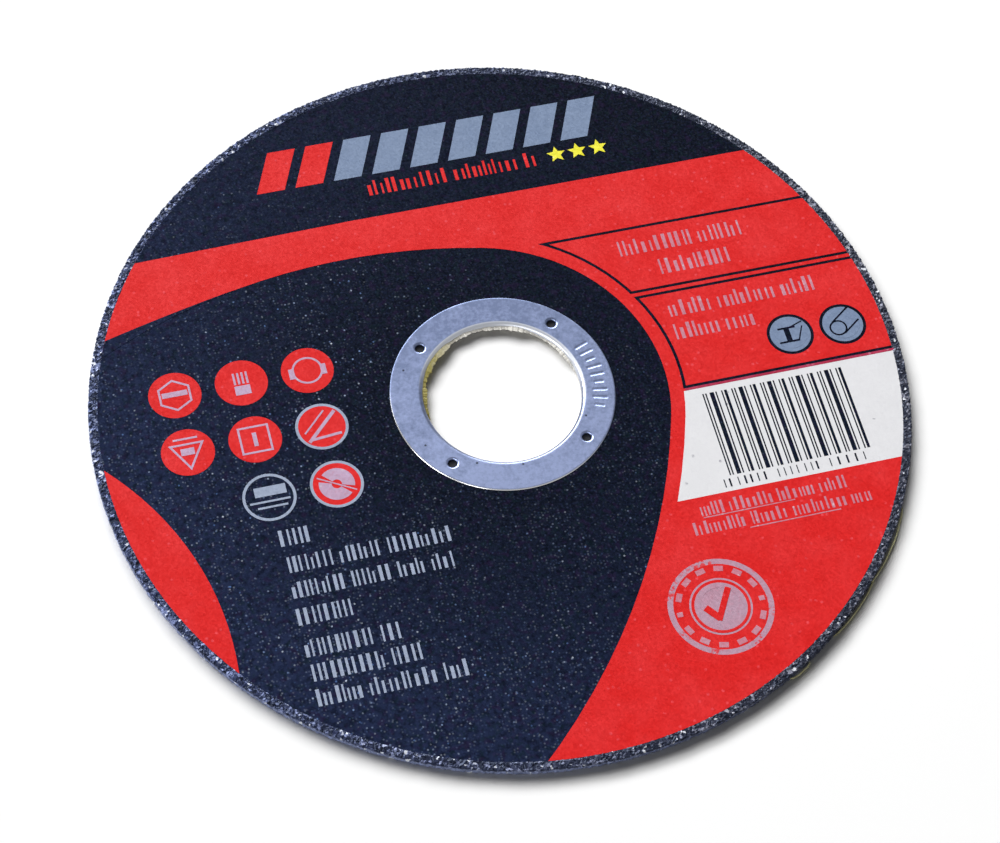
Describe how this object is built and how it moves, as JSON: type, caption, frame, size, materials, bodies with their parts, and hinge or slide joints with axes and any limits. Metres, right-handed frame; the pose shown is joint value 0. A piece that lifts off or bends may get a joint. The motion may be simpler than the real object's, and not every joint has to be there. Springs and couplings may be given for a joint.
{
  "type": "cut-off wheel",
  "caption": "Flat round abrasive cut-off wheel with a printed face and a flanged steel ring in its arbor hole, for an angle grinder.",
  "frame": {"origin": "on the arbor axis, on the back face that the wheel lies on", "axes": "+Z along the arbor axis, out of the printed face; +X to the right of the print, with its straight band level"},
  "size_m": [0.115, 0.115, 0.0012],
  "materials": {
    "abrasive": "coarse dark grain in resin",
    "tinned_steel": "satin tin plate",
    "black_ink": "matt ink over grain",
    "red_ink": "matt ink over grain",
    "white_ink": "matt ink over grain",
    "grey_ink": "matt silver-grey ink over grain",
    "yellow_ink": "matt ink over grain"
  },
  "bodies": {
    "root": {"abrasive_disc": "abrasive", "arbor_ring": "tinned_steel", "black_print": "black_ink", "red_print": "red_ink", "white_print": "white_ink", "grey_print": "grey_ink", "yellow_print": "yellow_ink"}
  },
  "joints": []
}
